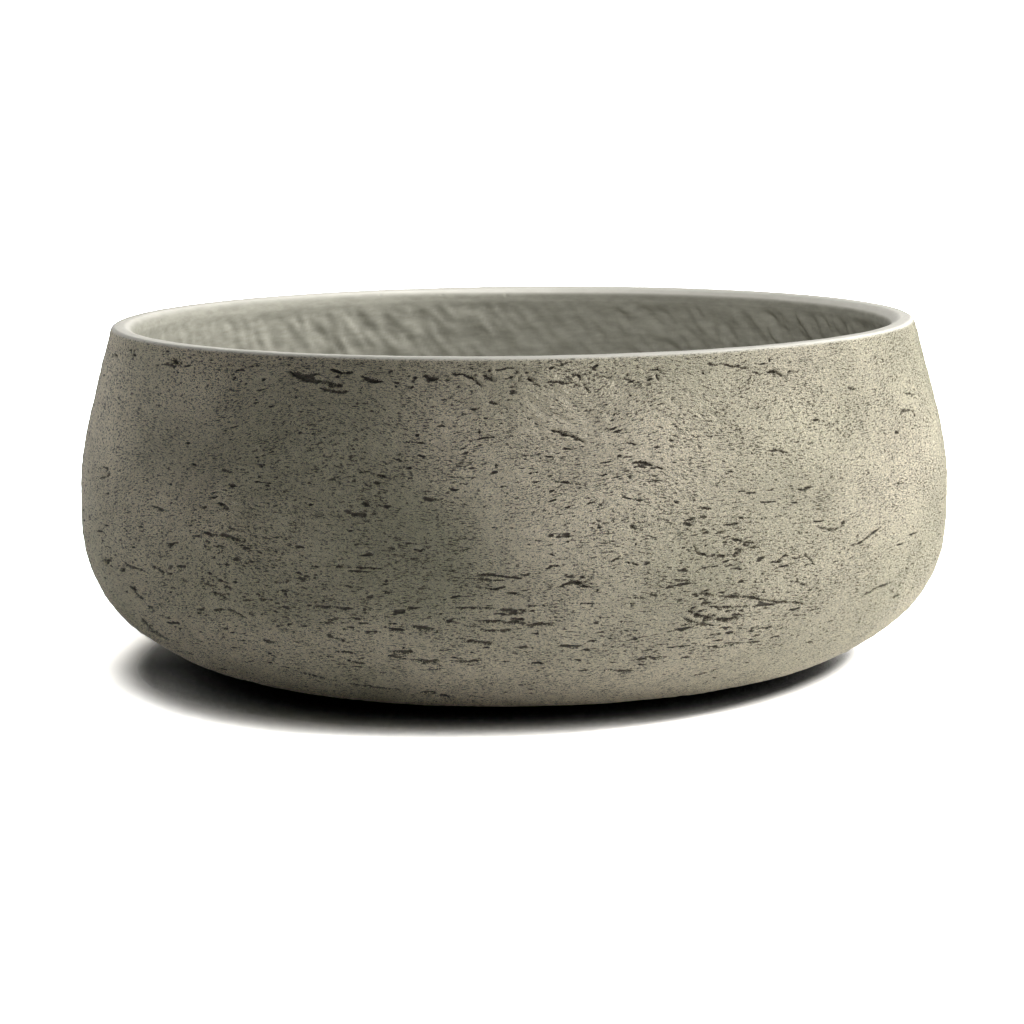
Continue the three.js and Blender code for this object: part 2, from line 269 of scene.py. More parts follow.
# Scars: half width in pixels, depth in mm, then the path.
SCARS = {
    "hole_left_upper": (3.6, 2.2, (106, 558), (107, 564)),
    "hole_left_lower": (4.0, 2.6, (121, 569), (125, 572)),
    "slash_left": (1.7, 1.4, (130, 586), (136, 594), (144, 600)),
    "dash_left_1": (1.4, 1.0, (122, 561), (129, 566), (144, 572)),
    "dash_left_2": (1.3, 0.9, (150, 565), (164, 573)),
    "spot_left": (1.8, 1.0, (149, 594), (151, 595)),
    "dash_left_3": (1.6, 1.0, (147, 606), (154, 611)),
    "dash_left_4": (1.3, 0.8, (159, 615), (170, 619)),
    "leaf_left": (2.2, 1.0, (141, 618), (151, 631), (168, 640)),
    "long_left": (1.5, 1.0, (200, 531), (213, 535), (223, 534), (232, 538), (240, 541)),
    "dash_left_5": (0.9, 0.7, (191, 536), (202, 536)),
    "dash_left_6": (1.0, 0.7, (135, 525), (145, 529)),
    "dash_left_7": (1.0, 0.7, (228, 528), (243, 531)),
    "long_left_2": (1.0, 0.8, (249, 535), (260, 536), (270, 539), (282, 536)),
    "dash_left_8": (1.4, 0.9, (205, 541), (210, 543)),
    "dash_left_9": (1.2, 0.8, (216, 545), (225, 547)),
    "thin_left": (0.8, 0.6, (229, 559), (243, 562), (258, 562)),
    "row_left_1": (1.0, 0.8, (296, 564), (315, 567), (333, 566)),
    "bead_left": (2.0, 0.9, (336, 567), (345, 566)),
    "row_left_2": (1.2, 0.9, (347, 567), (365, 568), (382, 569)),
    "row_left_3": (1.0, 0.8, (347, 571), (372, 572)),
    "dash_left_10": (1.3, 1.0, (214, 576), (220, 580), (230, 584)),
    "dash_left_11": (1.1, 0.8, (199, 583), (216, 586)),
    "dash_left_12": (1.2, 0.8, (180, 579), (190, 583)),
    "dash_left_13": (1.5, 1.1, (213, 592), (220, 595), (228, 599)),
    "arc_left": (1.4, 1.0, (212, 611), (222, 609), (233, 611), (246, 618)),
    "dash_left_14": (1.5, 1.0, (190, 608), (200, 611), (206, 614)),
    "spot_left_2": (1.6, 0.9, (223, 628), (228, 629)),
    "dash_left_15": (1.3, 1.0, (262, 639), (270, 643), (276, 642)),
    "dash_left_16": (1.4, 1.0, (327, 634), (333, 637)),
    "dash_left_17": (1.2, 0.9, (334, 651), (345, 652), (356, 654)),
    "dash_left_18": (1.2, 0.9, (351, 662), (366, 664)),
    "foot_dash_1": (1.4, 0.9, (301, 673), (318, 677), (336, 681)),
    "foot_dash_2": (1.1, 0.7, (343, 683), (372, 687), (400, 690)),
    "blob_front_1": (2.2, 1.4, (362, 503), (368, 505)),
    "blob_front_2": (2.6, 1.0, (352, 514), (366, 515)),
    "blob_front_3": (1.8, 1.2, (337, 516), (345, 515)),
    "hook_left": (1.7, 1.2, (217, 503), (224, 505), (227, 509), (219, 509)),
    "spot_left_3": (2.0, 1.1, (200, 507), (205, 507)),
    "slash_left_2": (1.3, 0.9, (149, 505), (158, 508), (168, 511)),
    "spots_left_4": (1.9, 1.0, (192, 463), (196, 466)),
    "spots_left_5": (1.5, 0.9, (171, 462), (173, 465)),
    "dash_left_19": (1.3, 0.9, (220, 469), (233, 473)),
    "spot_left_6": (1.9, 1.0, (228, 484), (235, 486)),
    "ring_left": (1.6, 0.9, (97, 472), (101, 466), (107, 468), (108, 476), (101, 478)),
    "spot_left_7": (1.9, 1.0, (106, 493), (110, 494)),
    "spot_left_8": (1.6, 1.2, (224, 430), (227, 431)),
    "spot_left_9": (1.4, 0.9, (255, 449), (258, 450)),
    "arc_front": (1.9, 1.6, (358, 472), (368, 472), (376, 474), (389, 478)),
    "arc_front_left": (1.4, 0.8, (349, 475), (356, 476)),
    "spot_front": (1.7, 1.2, (373, 482), (379, 484)),
    "rim_notch_left": (2.6, 2.0, (170, 362), (176, 361), (182, 364)),
    "rim_row_left": (1.4, 0.9, (155, 366), (165, 364), (178, 367), (192, 365)),
    "rim_scar_top": (3.0, 1.9, (289, 371), (300, 375), (318, 374)),
    "rim_scar_middle": (3.4, 1.3, (294, 375), (308, 380), (326, 382), (342, 386)),
    "rim_scar_low": (2.0, 0.9, (320, 388), (334, 392), (346, 393)),
    "rim_notch_1": (2.3, 2.2, (330, 369), (341, 373), (352, 372)),
    "rim_notch_2": (2.4, 2.2, (361, 376), (370, 380), (384, 382)),
    "rim_notch_3": (1.5, 1.0, (412, 378), (417, 378)),
    "rim_notch_4": (2.6, 1.5, (423, 376), (431, 379), (437, 379)),
    "rim_notch_5": (2.2, 1.2, (444, 378), (449, 380)),
    "rim_scar_right": (2.0, 1.8, (452, 374), (461, 374), (472, 378), (483, 388)),
    "rim_dash_1": (1.8, 1.2, (483, 375), (493, 381)),
    "rim_dash_2": (2.0, 1.6, (528, 379), (538, 385)),
    "rim_curve_1": (0.9, 0.8, (515, 366), (517, 373), (519, 381)),
    "rim_dash_3": (1.2, 0.9, (547, 382), (558, 382), (570, 384)),
    "rim_crack": (1.5, 1.3, (571, 374), (578, 375), (583, 383), (589, 393)),
    "rim_dot_1": (1.9, 1.3, (525, 372), (527, 373)),
    "rim_dot_2": (1.7, 1.2, (551, 374), (552, 375)),
    "rim_dot_3": (1.9, 1.3, (616, 373), (617, 374)),
    "rim_dot_4": (1.6, 1.4, (628, 373), (628, 376)),
    "rim_arc_1": (0.9, 0.7, (597, 377), (603, 376), (609, 378)),
    "rim_arc_2": (1.0, 0.8, (618, 378), (630, 380), (636, 385)),
    "rim_crack_2": (1.2, 1.0, (655, 372), (657, 377), (659, 381)),
    "rim_crack_3": (1.2, 0.8, (721, 364), (738, 367), (751, 369), (760, 374)),
    "rim_dots_right": (1.3, 0.9, (706, 364), (717, 365)),
    "rim_notch_right": (1.8, 2.0, (768, 373), (774, 371), (779, 373), (784, 376)),
    "rim_arch_right": (1.2, 1.0, (787, 374), (791, 370), (796, 375)),
    "rim_dash_right": (1.0, 0.8, (797, 363), (804, 361), (811, 360)),
    "dot_top_1": (1.6, 1.3, (672, 399), (673, 399)),
    "dash_top_1": (1.9, 1.4, (551, 430), (560, 432), (567, 436)),
    "dash_top_2": (1.7, 1.2, (567, 435), (576, 438), (585, 443)),
    "dash_top_3": (1.5, 1.0, (489, 402), (500, 405)),
    "dash_top_4": (1.1, 0.8, (470, 409), (479, 410)),
    "dots_top_1": (1.4, 0.9, (478, 432), (480, 432)),
    "dots_top_2": (1.5, 0.9, (488, 431), (490, 432)),
    "dash_top_5": (1.3, 0.9, (603, 428), (611, 430), (618, 433)),
    "dash_top_6": (1.2, 0.9, (623, 441), (636, 445)),
    "dot_top_2": (1.7, 1.1, (669, 440), (674, 440)),
    "wiggle": (1.6, 1.3, (633, 463), (640, 462), (645, 463), (655, 466), (663, 469)),
    "wiggle_spot": (1.3, 0.9, (652, 476), (660, 476)),
    "thin_front": (1.1, 0.9, (552, 481), (568, 483), (583, 485)),
    "dot_front_1": (1.6, 1.2, (559, 510), (563, 510)),
    "dash_front_1": (1.0, 0.8, (583, 498), (595, 498)),
    "dash_right_1": (1.3, 1.0, (699, 508), (714, 509)),
    "dash_right_2": (1.2, 0.9, (691, 518), (705, 517)),
    "spot_right_1": (1.9, 1.3, (849, 387), (855, 389)),
    "dot_right_1": (1.8, 1.4, (813, 406), (814, 406)),
    "dash_right_3": (1.2, 0.9, (813, 420), (819, 420)),
    "dash_right_4": (1.4, 1.0, (904, 393), (914, 394)),
    "spot_right_2": (1.7, 1.0, (898, 365), (901, 364)),
    "spot_right_3": (1.6, 0.9, (891, 376), (892, 377)),
    "spot_right_4": (1.7, 1.1, (896, 431), (898, 433)),
    "ring_right_top": (1.2, 0.7, (899, 416), (903, 410), (912, 410), (915, 417)),
    "dash_right_5": (1.2, 0.9, (799, 488), (812, 487)),
    "dot_right_2": (1.4, 1.0, (828, 488), (830, 489)),
    "dots_right_3": (1.3, 0.9, (769, 451), (779, 450), (789, 453)),
    "dash_front_2": (2.0, 1.7, (561, 586), (570, 583), (580, 583), (588, 581)),
    "dash_front_2_knob": (2.2, 1.8, (582, 587), (585, 586)),
    "layers_1": (1.2, 0.8, (441, 570), (455, 571)),
    "layers_2": (1.6, 0.9, (460, 573), (474, 576), (500, 574)),
    "layers_3": (1.7, 0.9, (466, 578), (484, 580), (505, 581)),
    "layers_4": (1.5, 0.8, (482, 574), (505, 577), (522, 579)),
    "layers_5": (1.3, 0.8, (476, 587), (492, 590), (506, 587)),
    "row_front_1": (1.0, 0.8, (416, 575), (440, 576), (462, 578)),
    "row_front_2": (1.1, 0.8, (345, 586), (364, 588)),
    "row_front_3": (1.4, 0.9, (315, 606), (334, 607), (353, 609)),
    "row_front_4": (1.1, 0.8, (456, 608), (478, 608), (500, 609)),
    "row_front_5": (2.4, 1.1, (499, 610), (512, 611), (527, 610)),
    "row_front_6": (1.1, 0.7, (524, 606), (552, 606)),
    "row_front_7": (1.2, 0.9, (505, 593), (524, 595)),
    "row_front_8": (1.9, 1.3, (478, 621), (500, 622), (516, 623), (530, 626), (554, 624)),
    "row_front_9": (1.5, 0.8, (480, 630), (500, 631), (522, 629)),
    "slab_front_1": (2.6, 1.2, (413, 626), (426, 629), (440, 631)),
    "slab_front_2": (1.8, 1.2, (463, 641), (478, 642), (494, 644)),
    "slab_front_3": (1.8, 1.1, (388, 651), (400, 652), (415, 653)),
    "slab_front_4": (1.5, 0.9, (388, 656), (402, 657)),
    "slab_front_5": (2.3, 1.4, (409, 659), (425, 662), (439, 661)),
    "slab_front_6": (1.7, 1.1, (450, 661), (466, 662), (481, 661)),
    "slab_front_7": (1.4, 0.9, (417, 669), (432, 670), (445, 669)),
    "foot_dash_3": (1.6, 1.0, (421, 693), (436, 693)),
    "foot_dash_4": (1.7, 1.1, (439, 696), (450, 697)),
    "flame_1": (1.0, 0.7, (412, 549), (420, 551), (427, 546), (424, 536)),
    "flame_2": (1.8, 1.0, (388, 548), (394, 549)),
    "dash_front_3": (1.6, 1.1, (410, 559), (419, 559)),
    "dash_front_4": (1.3, 0.9, (453, 550), (468, 550)),
    "dash_front_5": (1.5, 1.1, (381, 591), (388, 593), (392, 592)),
    "dash_front_6": (1.5, 1.0, (643, 657), (656, 659), (668, 657)),
    "dash_front_7": (1.6, 1.0, (601, 670), (625, 672)),
    "dash_front_8": (1.4, 1.0, (621, 674), (632, 671)),
    "spot_front_2": (2.2, 1.4, (630, 604), (633, 606)),
    "dash_front_9": (1.3, 1.0, (641, 593), (650, 594), (658, 597)),
    "dash_right_6": (1.2, 0.9, (675, 580), (689, 581)),
    "leaf_1": (1.5, 1.2, (701, 533), (710, 532)),
    "leaf_2": (1.7, 1.4, (715, 534), (723, 532), (725, 537), (719, 539)),
    "leaf_3": (1.4, 1.1, (732, 539), (745, 542), (763, 545)),
    "leaf_4": (1.8, 1.2, (694, 546), (698, 553), (706, 555)),
    "leaf_5": (2.0, 1.4, (716, 557), (724, 556)),
    "leaf_6": (1.9, 1.3, (733, 556), (740, 551), (756, 547)),
    "leaf_7": (1.2, 0.9, (684, 521), (692, 519), (706, 516)),
    "leaf_8": (1.1, 0.8, (738, 518), (751, 518)),
    "blob_right_1": (2.0, 1.3, (817, 509), (825, 511)),
    "dot_right_4": (1.7, 1.3, (821, 501), (822, 501)),
    "arc_right_1": (1.5, 1.0, (818, 527), (830, 530), (841, 527), (846, 520)),
    "ring_right_1": (1.2, 0.9, (843, 542), (852, 545), (860, 544), (871, 535), (882, 527)),
    "rings_right_2": (1.2, 0.8, (778, 561), (786, 555), (796, 559), (806, 556), (813, 562)),
    "dash_right_7": (2.0, 1.5, (788, 582), (797, 582), (807, 586)),
    "fish_back_1": (2.1, 1.3, (693, 595), (703, 594), (714, 596)),
    "fish_back_2": (1.6, 1.2, (720, 597), (747, 597), (761, 600)),
    "fish_back_3": (1.6, 1.2, (763, 600), (779, 603), (795, 602), (804, 605)),
    "fish_nose": (2.0, 1.3, (716, 602), (701, 605), (689, 610)),
    "fish_jaw": (3.2, 1.9, (689, 611), (698, 616), (712, 619), (724, 621), (737, 618)),
    "fish_bar": (1.8, 1.1, (710, 607), (730, 608), (749, 606)),
    "fish_chin": (1.9, 1.0, (683, 618), (696, 623), (714, 626)),
    "dot_right_5": (1.9, 1.3, (752, 629), (757, 628)),
    "dash_right_8": (1.8, 1.1, (710, 636), (722, 634)),
    "low_right_1": (1.9, 1.1, (704, 646), (719, 648), (732, 645), (741, 643)),
    "low_right_2": (1.2, 0.8, (743, 643), (761, 642)),
    "low_right_3": (1.0, 0.8, (767, 639), (785, 636)),
    "cluster_right": (1.4, 0.9, (864, 595), (878, 588), (896, 581)),
    "dash_low_right": (1.2, 0.8, (801, 644), (813, 642)),
    "thin_low_right": (1.0, 0.7, (690, 677), (702, 674), (714, 671)),
}


def path_distance(points, path):
    """Distance of each point to a path, and how far along the path it lies, from 0 to 1."""
    steps = np.diff(path, axis=0)
    lengths = np.hypot(*steps.T)
    ends = np.concatenate([[0], np.cumsum(lengths)]) / lengths.sum()
    nearest = np.full(len(points), np.inf)
    along = np.zeros(len(points))
    for start, step, length, low, high in zip(path, steps, lengths, ends, ends[1:]):
        share = np.clip((points - start) @ step / length ** 2, 0, 1)
        away = np.hypot(*(points - start - share[:, None] * step).T)
        closer = away < nearest
        nearest[closer] = away[closer]
        along[closer] = (low + share * (high - low))[closer]
    return nearest, along


def carve_scars(pixels, ragged, opening, depth):
    """Cut every scar into the opening and depth fields. A scar narrows towards its ends."""
    for half_width, scar_depth, *path in SCARS.values():
        reach = 3 * half_width
        low, high = np.min(path, axis=0) - reach, np.max(path, axis=0) + reach
        near = np.all((pixels > low) & (pixels < high), axis=-1)
        away, along = path_distance(pixels[near], path)
        taper = 1 - 0.55 * np.abs(2 * along - 1) ** 2.5
        value = 1.0 + 0.45 * ragged[near] - away / (0.9 * half_width * taper)
        opening[near] = np.maximum(opening[near], value)
        depth[near] = np.maximum(depth[near], scar_depth * smoothstep(-0.1, 0.8, value))


# ---- The outer face: pits, dashes and scars as depth below the true surface ----

OUTER_COLUMNS = 1440
OUTER_ROW = 0.55 * MM
COLUMN = 2 * math.pi * BELLY_RADIUS / OUTER_COLUMNS
PIT_SOFTNESS = 0.45
FRONT_PIXEL = 0.57  # mm that a pixel spans on the front of the bowl
PATCH_CLIMB = 0.42  # rise of the grain over its run in a slanted patch


def outer_profile():
    """From the edge of the flat underside up and on to the rim's outer round."""
    edge = leaning_wall_point(RIM_OUTER_ROUND, RIM_TOP - RIM_OUTER_ROUND)
    over = arc(edge, RIM_OUTER_ROUND, WALL_LEAN, RIM_LAND_FROM)
    return resample(np.concatenate([wall_skin(0, UNDERSIDE), over]), OUTER_ROW)


def slanted_shift(pixels):
    """How far the grain climbs to the right in the slanted patches, in mm."""
    climb = 0
    for patch in SLANTED_PATCHES.values():
        right = (pixels[..., 0] - patch[0]) * FRONT_PIXEL
        climb = climb + PATCH_CLIMB * right * soft_patch(pixels, *patch)
    return climb


def outer_surface(profile):
    """Depth of the outer face below its true surface, and its painted fields."""
    shape = (len(profile), OUTER_COLUMNS)
    spacing = (OUTER_ROW, COLUMN)
    tangent = unit(np.gradient(profile, axis=0))
    pixels = seen_pixels(spun(profile[:, :1], profile[:, 1:], OUTER_COLUMNS),
                         spun(tangent[:, 1:], -tangent[:, :1], OUTER_COLUMNS))
    hidden = pixels[..., 0] < 0
    height = (profile[:, 1] - UNDERSIDE)[:, None]
    below_rim = (RIM_TOP - profile[:, 1])[:, None]
    low_half = smoothstep(150 * MM, 90 * MM, height)

    def noise(seed, across, along, slant=0):
        return smooth_noise(seed, shape, spacing, across, along, slant)

    slope = painted(SLANTED_PATCHES, pixels)
    shift = 0.9 * noise(14, 16, 22) + 5 * (1 - 0.6 * low_half) * noise(15, 24, 30)
    shift = (shift + slanted_shift(pixels)) * MM

    def warped(field):
        """The field with its rows moved by the shift of the grain."""
        at = np.clip(np.arange(shape[0])[:, None] + shift / OUTER_ROW, 0, shape[0] - 1.001)
        whole = at.astype(int)
        share = at - whole
        below = np.take_along_axis(field, whole, axis=0)
        return below * (1 - share) + np.take_along_axis(field, whole + 1, axis=0) * share

    density = 0.55 * noise(11, 8, 20) + 0.35 * noise(12, 22, 40)
    density = density + 1.1 * painted(DENSE_PATCHES, pixels) - 2.2 * painted(SMOOTH_PATCHES, pixels)
    rim_clear = smoothstep(2.6 * MM, 5.5 * MM, below_rim + 0.6 * MM * noise(13, 2, 4))
    top_zone = smoothstep(34 * MM, 8 * MM, below_rim)

    def opened(field, threshold, gain):
        return (field - threshold + gain * density) / PIT_SOFTNESS

    # Small dashes, long dashes and round holes: each is open where its noise is high.
    fine = noise(30, 0.45, 0.8)
    dash = warped(0.88 * noise(31, 0.42, 2.3) + 0.42 * fine)
    small = opened(dash, 1.88 - 0.12 * low_half + 0.2 * top_zone, 0.25)
    long_dash = warped(0.9 * noise(32, 0.6, 4.4) + 0.4 * noise(34, 0.5, 1.0))
    large = opened(long_dash, 2.28 - 0.28 * low_half, 0.22)
    hole = 0.85 * noise(33, 0.7, 0.95) + 0.4 * fine
    holes = opened(hole, 2.55 - 0.75 * top_zone, 0.20)
    opening = np.clip(np.maximum.reduce([small, large, holes]), -3, 3)
    depth = np.maximum.reduce([0.45 * smoothstep(0, 1.2, small), 0.9 * smoothstep(0, 1.2, large),
                               0.8 * smoothstep(0, 1.2, holes)])
    opening = opening * rim_clear - 3 * (1 - rim_clear)
    depth = depth * rim_clear
    carve_scars(pixels, 0.7 * fine + 0.7 * noise(35, 0.8, 1.8), opening, depth)

    # Low relief between them, which stands out only where the bowl is narrower than its belly.
    calm = 1 - 0.8 * painted(SMOOTH_PATCHES, pixels)
    relief = 0.15 * noise(21, 9, 14) + 0.12 * calm * warped(noise(22, 1.4, 4))
    relief += 0.09 * calm * warped(noise(23, 0.7, 1.8)) + 0.13 * slope * noise(24, 0.9, 4, -28)
    room = np.clip(0.9 * (BELLY_RADIUS - profile[:, :1]) / MM, 0, 0.35)
    relief = np.maximum(relief + 0.30 - 0.8 * room, -room)
    relief *= smoothstep(0, 9 * MM, below_rim) * smoothstep(0, 4 * MM, height)
    # Tint from green-grey to pink-brown, which also carries painted light at the left foot and
    # painted shade on the left side.
    tint_and_painted_light = 0.5 + 0.28 * noise(16, 22, 26) * np.where(hidden, 0.7, 0.5)
    tint_and_painted_light = tint_and_painted_light + 0.5 * painted(WARM_AND_PAINTED_LIGHT_PATCHES, pixels) - 0.4 * painted(GREEN_AND_PAINTED_SHADE_PATCHES, pixels)
    fields = {"pit": opening, "tint_and_painted_light": np.clip(tint_and_painted_light, 0, 1), "shift": shift, "density": density}
    return (relief + depth) * MM, fields


# ---- One closed mesh from rings of points ----

class Band:
    """Rings of the bowl with one count of columns, their depth and their painted fields.
    The strips are where the rings lie in the texture map: low and high for each equal part
    of a turn. The grain of a flat band follows its plane."""

    BLANK = {"pit": -3.0, "tint_and_painted_light": 0.4, "shift": 0.0, "density": 0.0, "inside": 0.0, "rim": 0.0}

    def __init__(self, profile, columns, strips, depth=0.0, flat=False, **fields):
        self.profile = profile
        self.columns = columns
        self.strips = strips
        self.flat = flat
        shape = (len(profile), columns)
        self.depth = np.broadcast_to(depth, shape)
        self.fields = {name: np.broadcast_to(fields.get(name, blank), shape)
                       for name, blank in self.BLANK.items()}


def ring_faces(first_count, second_count):
    """Faces between two rings whose counts are equal, or one is twice the other. Each corner
    is a ring, 0 or 1, and a column that isn't wrapped."""
    small = min(first_count, second_count)
    j = np.arange(small)
    if first_count == second_count:
        patterns = [[(0, j), (0, j + 1), (1, j + 1), (1, j)]]
    elif first_count > second_count:
        patterns = [[(0, 2 * j), (0, 2 * j + 1), (1, j)], [(0, 2 * j + 1), (1, j + 1), (1, j)],
                    [(0, 2 * j + 1), (0, 2 * j + 2), (1, j + 1)]]
    else:
        patterns = [[(0, j), (1, 2 * j + 1), (1, 2 * j)], [(0, j), (0, j + 1), (1, 2 * j + 1)],
                    [(0, j + 1), (1, 2 * j + 2), (1, 2 * j + 1)]]
    return [(np.array([ring for ring, _ in pattern]),
             np.stack([column for _, column in pattern], axis=1)) for pattern in patterns]


def profile_normals(profile):
    """Outward unit normals of a closed loop of profile points, walked with the solid on
    its left."""
    tangent = unit(np.roll(profile, -1, axis=0) - np.roll(profile, 1, axis=0))
    return np.stack([tangent[:, 1], -tangent[:, 0]], axis=1)


def band_points(bands):
    """Points of all the rings, displaced inwards by each band's depth, and the points of a
    straight tube that their texture is taken from."""
    profile = np.concatenate([band.profile for band in bands])
    normals = profile_normals(profile)
    step = np.hypot(*(profile - np.roll(profile, 1, axis=0)).T)
    along = np.cumsum(step) - step[0]
    points, unwraps = [], []
    row = 0
    for band in bands:
        rows = slice(row, row + len(band.profile))
        radius = band.profile[:, :1] - band.depth * normals[rows, :1]
        height = band.profile[:, 1:] - band.depth * normals[rows, 1:]
        points.append(spun(radius, height, band.columns).reshape(-1, 3))
        run = along[rows, None] + band.fields["shift"]
        tube = spun(BELLY_RADIUS, run, band.columns).reshape(-1, 3)
        unwraps.append(points[-1] if band.flat else tube)
        row = rows.stop
    return np.concatenate(points), np.concatenate(unwraps)


def band_faces(bands):
    """Faces between the rings of all the bands, and their corners in the texture map."""
    counts = np.concatenate([[band.columns] * len(band.profile) for band in bands])
    starts = np.cumsum(counts) - counts
    corner_sets, map_sets = [], []
    row = 0
    for band in bands:
        lows, highs = np.array(band.strips).T
        for local in range(len(band.profile)):
            pair = [row, (row + 1) % len(counts)]
            shares = (local + np.arange(2)) / len(band.profile)
            for rings, columns in ring_faces(*counts[pair]):
                corner_sets.append(starts[pair][rings] + columns % counts[pair][rings])
                turned = columns / counts[pair][rings] * len(lows)
                part = np.floor(turned.mean(axis=1, keepdims=True)).astype(int)
                rise = lows[part] + (highs - lows)[part] * shares[rings]
                map_sets.append(np.stack([turned - part, rise], axis=2).reshape(-1, 2))
            row += 1
    return corner_sets, map_sets


def revolve_bands(name, bands):
    """A closed mesh of revolution with its texture map and painted fields."""
    points, unwrap = band_points(bands)
    corner_sets, map_sets = band_faces(bands)
    mesh = mesh_from_faces(name, points, corner_sets)
    texture_map = mesh.uv_layers.new(name="OFBake")
    texture_map.data.foreach_set("uv", np.concatenate(map_sets).astype(np.float32).ravel())
    for field in ("pit", "tint_and_painted_light", "density", "inside", "rim"):
        values = np.concatenate([band.fields[field].ravel() for band in bands])
        add_attribute(mesh, field, values)
    add_attribute(mesh, "unwrap", unwrap)
    return mesh


def mesh_from_faces(name, points, corner_sets):
    mesh = bpy.data.meshes.new(name)
    mesh.vertices.add(len(points))
    mesh.vertices.foreach_set("co", points.astype(np.float32).ravel())
    corners = np.concatenate([c.ravel() for c in corner_sets]).astype(np.int32)
    sizes = np.concatenate([np.full(len(c), c.shape[1]) for c in corner_sets])
    mesh.loops.add(len(corners))
    mesh.loops.foreach_set("vertex_index", corners)
    mesh.polygons.add(len(sizes))
    mesh.polygons.foreach_set("loop_start", (np.cumsum(sizes) - sizes).astype(np.int32))
    mesh.polygons.foreach_set("use_smooth", np.ones(len(sizes), bool))
    mesh.update(calc_edges=True)
    return mesh


def add_attribute(mesh, name, values):
    kind, field = ("FLOAT", "value") if values.ndim == 1 else ("FLOAT_VECTOR", "vector")
    attribute = mesh.attributes.new(name, kind, "POINT")
    attribute.data.foreach_set(field, values.astype(np.float32).ravel())


# ---- Bowl ----

INNER_COLUMNS = 720
FLOOR_COLUMNS = INNER_COLUMNS // 2
DRAIN_COLUMNS = INNER_COLUMNS // 4
INNER_ROW = 1.5 * MM
LAND_ROW = 0.5 * MM
LUMP_LENGTHS = (5 * MM, 30 * MM)
LUMP_WAVES = 60
ROUGHEST_INSIDE = math.radians(60)


def plane_lumps(seed, points):
    """Soft lumps of unit spread over a plane, from waves of many lengths and directions."""
    random = np.random.default_rng(seed)
    lengths = np.exp(random.uniform(*np.log(LUMP_LENGTHS), LUMP_WAVES))
    directions, phases = random.uniform(0, 2 * math.pi, (2, LUMP_WAVES))
    waves = 2 * math.pi / lengths * np.stack([np.cos(directions), np.sin(directions)])
    return np.cos(points @ waves + phases).sum(axis=-1) * math.sqrt(2 / LUMP_WAVES)


def flat_band(profile, columns, strip, seed, mean, spread, inside):
    """A level ring, uneven by a mean and a spread in mm, with both of its edges true."""
    lumps = plane_lumps(seed, spun(profile[:, :1], 0, columns)[..., :2])
    from_edge = np.minimum(abs(profile[:, 0] - profile[0, 0]), abs(profile[:, 0] - profile[-1, 0]))
    fade = smoothstep(0, 8 * MM, from_edge)[:, None]
    depth = np.maximum(mean + spread * lumps, 0) * fade * MM
    return Band(profile, columns, [strip], depth, flat=True, inside=inside)


def inner_depth(profile):
    """The hand-laid inner face: soft lumps and slanted strokes, strongest at the back right,
    with nothing open."""
    shape = (len(profile), INNER_COLUMNS)
    facing = np.cos(turns(INNER_COLUMNS) - ROUGHEST_INSIDE)
    strength = 0.5 + 0.5 * smoothstep(0.2, 0.9, facing)
    spacing = (INNER_ROW, 2 * math.pi * BELLY_RADIUS / INNER_COLUMNS)
    below_rim = (RIM_TOP - profile[:, 1])[:, None]
    lumps = 0.45 * smooth_noise(41, shape, spacing, 5, 7)
    strokes = 0.75 * smooth_noise(42, shape, spacing, 1.8, 5.5, -50)
    small = 0.25 * smooth_noise(43, shape, spacing, 1.5, 2.4, -40)
    fade_from = 1.25 * RIM_INNER_ROUND
    fade = smoothstep(fade_from, fade_from + 8 * MM, below_rim)
    fade *= smoothstep(0, 14 * MM, np.arange(len(profile))[::-1] * INNER_ROW)[:, None]
    return (0.6 + strength * (lumps + strokes + small)) * fade * MM


def land_depth(profile):
    """The flat of the rim: all but true, with a slow wave and a few worn spots."""
    shape = (len(profile), OUTER_COLUMNS)
    spacing = (LAND_ROW, COLUMN)
    wave = smooth_noise(51, shape, spacing, 3, 9)
    worn = smoothstep(2.3, 3.2, smooth_noise(52, shape, spacing, 0.9, 1.5))
    ends = np.minimum(np.arange(len(profile)), np.arange(len(profile))[::-1])[:, None]
    return (0.05 * (wave - wave.min()) + 0.45 * worn) * MM * smoothstep(0, 4, ends)


